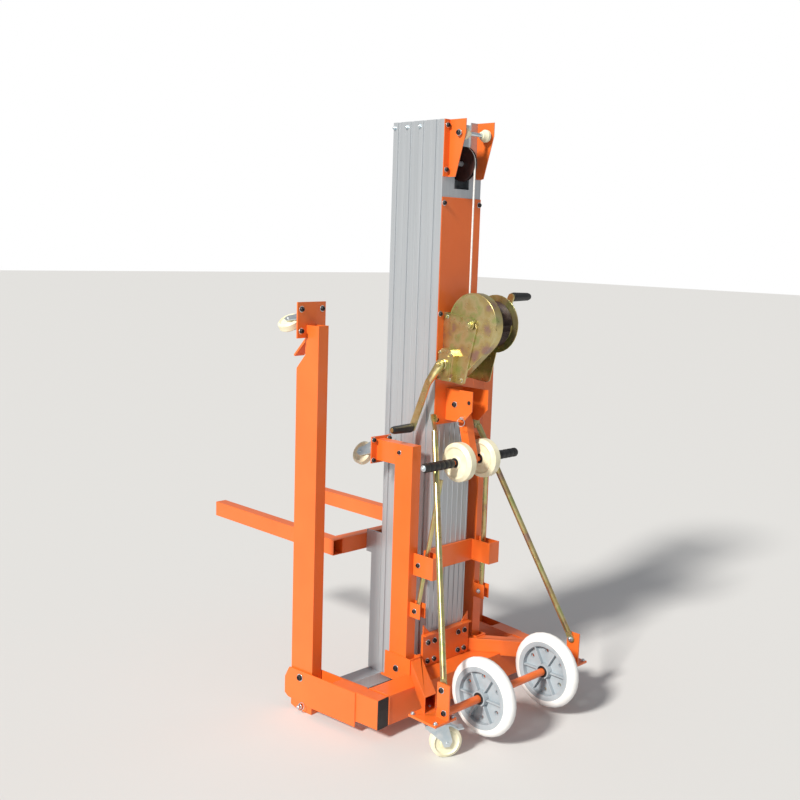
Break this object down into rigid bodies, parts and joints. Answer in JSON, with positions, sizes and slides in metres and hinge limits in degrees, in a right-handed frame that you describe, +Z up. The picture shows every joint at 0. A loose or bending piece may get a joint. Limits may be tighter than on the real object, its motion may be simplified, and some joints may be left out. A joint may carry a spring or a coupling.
{
  "type": "drywall lift",
  "caption": "Telescoping aluminium mast lift with hand winch, forks and folding wheeled legs, for raising boards, ducts and beams.",
  "frame": {"origin": "centre of the footprint on the floor", "axes": "+Z up the mast, +Y towards the fork tips, +X to the right when facing the way the forks point"},
  "size_m": [0.9634, 1.436, 1.948],
  "materials": {
    "orange_paint": "gloss powder coat",
    "aluminium": "mill finish extrusion",
    "yellow_zinc": "yellow zinc plating",
    "blue_zinc": "blue zinc plating",
    "nylon": "cream nylon",
    "tyre_white": "white tyre on a grey hub",
    "black_grip": "black moulded",
    "dark_iron": "dark painted",
    "cable_steel": "white plastic-coated cable"
  },
  "bodies": {
    "base": {"base_cross_tube": "orange_paint", "brace_far": "yellow_zinc", "brace_near": "yellow_zinc", "clip_crossbar": "orange_paint", "front_arm_far": "orange_paint", "front_arm_near": "orange_paint", "front_tie_bar": "aluminium", "gear_cover": "yellow_zinc", "hoist_cable": "cable_steel", "loading_bracket": "orange_paint", "mast_foot_plate": "orange_paint", "mast_section_1": "aluminium", "rear_arm_far": "orange_paint", "rear_arm_near": "orange_paint", "rear_cover": "orange_paint", "top_ear_far": "orange_paint", "top_ear_near": "orange_paint", "top_roller_shaft": "blue_zinc", "transport_axle": "orange_paint", "winch_frame": "yellow_zinc"},
    "leg_near": {"leg_near": "orange_paint"},
    "leg_caster_near_fork": {"leg_caster_near_fork": "blue_zinc"},
    "leg_caster_near_wheel": {"leg_caster_near_wheel": "nylon"},
    "stabiliser_near": {"stabiliser_near": "orange_paint", "stay_rod_near": "yellow_zinc"},
    "stabiliser_caster_near_fork": {"stabiliser_caster_near_fork": "blue_zinc"},
    "stabiliser_caster_near_wheel": {"stabiliser_caster_near_wheel": "nylon"},
    "rear_caster_near_fork": {"rear_caster_near_fork": "blue_zinc"},
    "rear_caster_near_wheel": {"rear_caster_near_wheel": "nylon"},
    "transport_wheel_near": {"transport_wheel_near": "tyre_white"},
    "loading_wheel_near": {"loading_wheel_near": "nylon"},
    "top_roller_near": {"top_roller_near": "nylon"},
    "leg_far": {"leg_far": "orange_paint"},
    "leg_caster_far_fork": {"leg_caster_far_fork": "blue_zinc"},
    "leg_caster_far_wheel": {"leg_caster_far_wheel": "nylon"},
    "stabiliser_far": {"stabiliser_far": "orange_paint", "stay_rod_far": "yellow_zinc"},
    "stabiliser_caster_far_fork": {"stabiliser_caster_far_fork": "blue_zinc"},
    "stabiliser_caster_far_wheel": {"stabiliser_caster_far_wheel": "nylon"},
    "rear_caster_far_fork": {"rear_caster_far_fork": "blue_zinc"},
    "rear_caster_far_wheel": {"rear_caster_far_wheel": "nylon"},
    "transport_wheel_far": {"transport_wheel_far": "tyre_white"},
    "loading_wheel_far": {"loading_wheel_far": "nylon"},
    "top_roller_far": {"top_roller_far": "nylon"},
    "loading_arm": {"loading_arm": "orange_paint", "loading_grip_near": "black_grip", "loading_grip_far": "black_grip"},
    "mast_2": {"mast_section_2": "aluminium"},
    "mast_3": {"mast_section_3": "aluminium"},
    "mast_4": {"mast_section_4": "aluminium"},
    "carriage": {"fork_carriage": "aluminium", "fork_crossbar": "orange_paint", "fork_near": "orange_paint", "fork_far": "orange_paint"},
    "crank": {"crank_shaft": "yellow_zinc"},
    "crank_grip_near": {"crank_grip_near": "black_grip"},
    "crank_grip_far": {"crank_grip_far": "black_grip"},
    "drum": {"winch_drum": "yellow_zinc", "drum_gear": "dark_iron"},
    "sheave": {"top_sheave": "dark_iron"}
  },
  "joints": [
    {"name": "leg_near_swing", "type": "hinge", "parent": "base", "child": "leg_near", "pos_m": [-0.41163, -0.03829, 0.119], "axis": [-0.9962, -0.0872, 0], "range_deg": [0, 90]},
    {"name": "leg_caster_near_swivel", "type": "hinge", "parent": "leg_near", "child": "leg_caster_near_fork", "pos_m": [-0.41259, -0.02734, 1.307], "axis": [0.0872, -0.9962, 0], "continuous": true},
    {"name": "leg_caster_near_roll", "type": "hinge", "parent": "leg_caster_near_fork", "child": "leg_caster_near_wheel", "pos_m": [-0.44267, 0.03829, 1.293], "axis": [0.4981, 0.0436, -0.866], "continuous": true},
    {"name": "stabiliser_near_swing", "type": "hinge", "parent": "base", "child": "stabiliser_near", "pos_m": [-0.166, -0.24, 0.147], "axis": [-1, 0, 0], "range_deg": [0, 24]},
    {"name": "stabiliser_caster_near_swivel", "type": "hinge", "parent": "stabiliser_near", "child": "stabiliser_caster_near_fork", "pos_m": [-0.166, -0.109, 0.873], "axis": [0, -1, 0], "continuous": true},
    {"name": "stabiliser_caster_near_roll", "type": "hinge", "parent": "stabiliser_caster_near_fork", "child": "stabiliser_caster_near_wheel", "pos_m": [-0.18, -0.041, 0.84875], "axis": [0.866, 0, -0.5], "continuous": true},
    {"name": "rear_caster_near_swivel", "type": "hinge", "parent": "base", "child": "rear_caster_near_fork", "pos_m": [-0.335, -0.552, 0.126], "axis": [0, 0, 1], "continuous": true},
    {"name": "rear_caster_near_roll", "type": "hinge", "parent": "rear_caster_near_fork", "child": "rear_caster_near_wheel", "pos_m": [-0.30036, -0.572, 0.05], "axis": [0.5, 0.866, 0], "continuous": true},
    {"name": "transport_wheel_near_roll", "type": "hinge", "parent": "base", "child": "transport_wheel_near", "pos_m": [-0.15, -0.591, 0.154], "axis": [1, 0, 0], "continuous": true},
    {"name": "top_roller_near_roll", "type": "hinge", "parent": "base", "child": "top_roller_near", "pos_m": [-0.044, -0.328, 1.905], "axis": [1, 0, 0], "continuous": true},
    {"name": "leg_far_swing", "type": "hinge", "parent": "base", "child": "leg_far", "pos_m": [0.41163, -0.03829, 0.119], "axis": [-0.9962, 0.0872, 0], "range_deg": [0, 90]},
    {"name": "leg_caster_far_swivel", "type": "hinge", "parent": "leg_far", "child": "leg_caster_far_fork", "pos_m": [0.41259, -0.02734, 1.307], "axis": [-0.0872, -0.9962, 0], "continuous": true},
    {"name": "leg_caster_far_roll", "type": "hinge", "parent": "leg_caster_far_fork", "child": "leg_caster_far_wheel", "pos_m": [0.44267, 0.03829, 1.293], "axis": [0.4981, -0.0436, 0.866], "continuous": true},
    {"name": "stabiliser_far_swing", "type": "hinge", "parent": "base", "child": "stabiliser_far", "pos_m": [0.166, -0.24, 0.147], "axis": [-1, 0, 0], "range_deg": [0, 24]},
    {"name": "stabiliser_caster_far_swivel", "type": "hinge", "parent": "stabiliser_far", "child": "stabiliser_caster_far_fork", "pos_m": [0.166, -0.109, 0.873], "axis": [0, -1, 0], "continuous": true},
    {"name": "stabiliser_caster_far_roll", "type": "hinge", "parent": "stabiliser_caster_far_fork", "child": "stabiliser_caster_far_wheel", "pos_m": [0.18, -0.041, 0.84875], "axis": [0.866, 0, 0.5], "continuous": true},
    {"name": "rear_caster_far_swivel", "type": "hinge", "parent": "base", "child": "rear_caster_far_fork", "pos_m": [0.335, -0.552, 0.126], "axis": [0, 0, 1], "continuous": true},
    {"name": "rear_caster_far_roll", "type": "hinge", "parent": "rear_caster_far_fork", "child": "rear_caster_far_wheel", "pos_m": [0.30672, -0.52372, 0.05], "axis": [-0.7071, -0.7071, 0], "continuous": true},
    {"name": "transport_wheel_far_roll", "type": "hinge", "parent": "base", "child": "transport_wheel_far", "pos_m": [0.174, -0.591, 0.154], "axis": [1, 0, 0], "continuous": true},
    {"name": "top_roller_far_roll", "type": "hinge", "parent": "base", "child": "top_roller_far", "pos_m": [0.044, -0.328, 1.905], "axis": [1, 0, 0], "continuous": true},
    {"name": "loading_arm_swing", "type": "hinge", "parent": "base", "child": "loading_arm", "pos_m": [0, -0.322, 1.04], "axis": [-1, 0, 0], "range_deg": [0, 75]},
    {"name": "loading_wheel_near_roll", "type": "hinge", "parent": "loading_arm", "child": "loading_wheel_near", "pos_m": [-0.06, -0.37, 0.858], "axis": [1, 0, 0], "continuous": true},
    {"name": "loading_wheel_far_roll", "type": "hinge", "parent": "loading_arm", "child": "loading_wheel_far", "pos_m": [0.06, -0.37, 0.858], "axis": [1, 0, 0], "continuous": true},
    {"name": "mast_2_lift", "type": "slide", "parent": "base", "child": "mast_2", "axis": [0, 0, 1], "range_m": [0, 1.4]},
    {"name": "mast_3_lift", "type": "slide", "parent": "mast_2", "child": "mast_3", "axis": [0, 0, 1], "range_m": [0, 1.4]},
    {"name": "mast_4_lift", "type": "slide", "parent": "mast_3", "child": "mast_4", "axis": [0, 0, 1], "range_m": [0, 1.4]},
    {"name": "carriage_lift", "type": "slide", "parent": "mast_4", "child": "carriage", "axis": [0, 0, 1], "range_m": [0, 1.4]},
    {"name": "drum_turn", "type": "hinge", "parent": "base", "child": "drum", "pos_m": [0, -0.405, 1.308], "axis": [1, 0, 0], "continuous": true},
    {"name": "crank_turn", "type": "hinge", "parent": "base", "child": "crank", "pos_m": [0, -0.31, 1.175], "axis": [1, 0, 0], "continuous": true},
    {"name": "sheave_turn", "type": "hinge", "parent": "base", "child": "sheave", "pos_m": [0, -0.282, 1.815], "axis": [1, 0, 0], "continuous": true},
    {"name": "crank_grip_near_spin", "type": "hinge", "parent": "crank", "child": "crank_grip_near", "pos_m": [-0.136, -0.22, 0.957], "axis": [1, 0, 0], "continuous": true},
    {"name": "crank_grip_far_spin", "type": "hinge", "parent": "crank", "child": "crank_grip_far", "pos_m": [0.136, -0.4, 1.393], "axis": [1, 0, 0], "continuous": true}
  ],
  "couplings": [
    {"joint": "crank_turn", "follows": "drum_turn", "ratio": 4},
    {"joint": "sheave_turn", "follows": "drum_turn", "ratio": -1.402},
    {"joint": "mast_3_lift", "follows": "mast_2_lift", "ratio": 1},
    {"joint": "mast_4_lift", "follows": "mast_2_lift", "ratio": 1},
    {"joint": "carriage_lift", "follows": "mast_2_lift", "ratio": 1}
  ]
}
